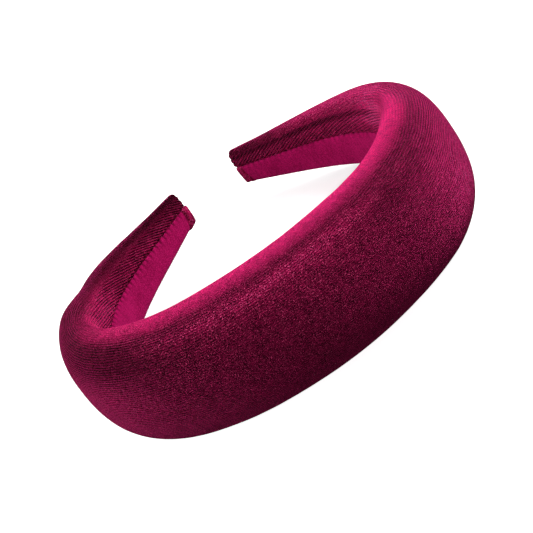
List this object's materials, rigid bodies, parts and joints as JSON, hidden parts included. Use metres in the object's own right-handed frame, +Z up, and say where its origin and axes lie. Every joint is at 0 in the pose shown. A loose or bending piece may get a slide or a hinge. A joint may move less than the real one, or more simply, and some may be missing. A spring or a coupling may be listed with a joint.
{
  "type": "padded headband",
  "caption": "Springy C-shaped headband, thickly padded at the crown and narrowing to its tips, in ribbed burgundy velvet with a smooth lining on the inner face.",
  "frame": {"origin": "middle of the bounding box in X and Y, on the surface that the headband lies on", "axes": "+X from the left arm to the right arm, +Y from the crown towards the open tips, +Z up from the surface"},
  "size_m": [0.168, 0.151, 0.0526],
  "materials": {
    "ribbed_velvet": "burgundy velvet with fine lengthwise ribs and a pink sheen",
    "lining_velour": "smooth short-pile velour, a little lighter and pinker than the ribbed velvet"
  },
  "bodies": {
    "root": {"padded_band": "ribbed_velvet", "lining": "lining_velour", "tip_fold_left": "ribbed_velvet", "tip_fold_right": "ribbed_velvet"}
  },
  "joints": []
}
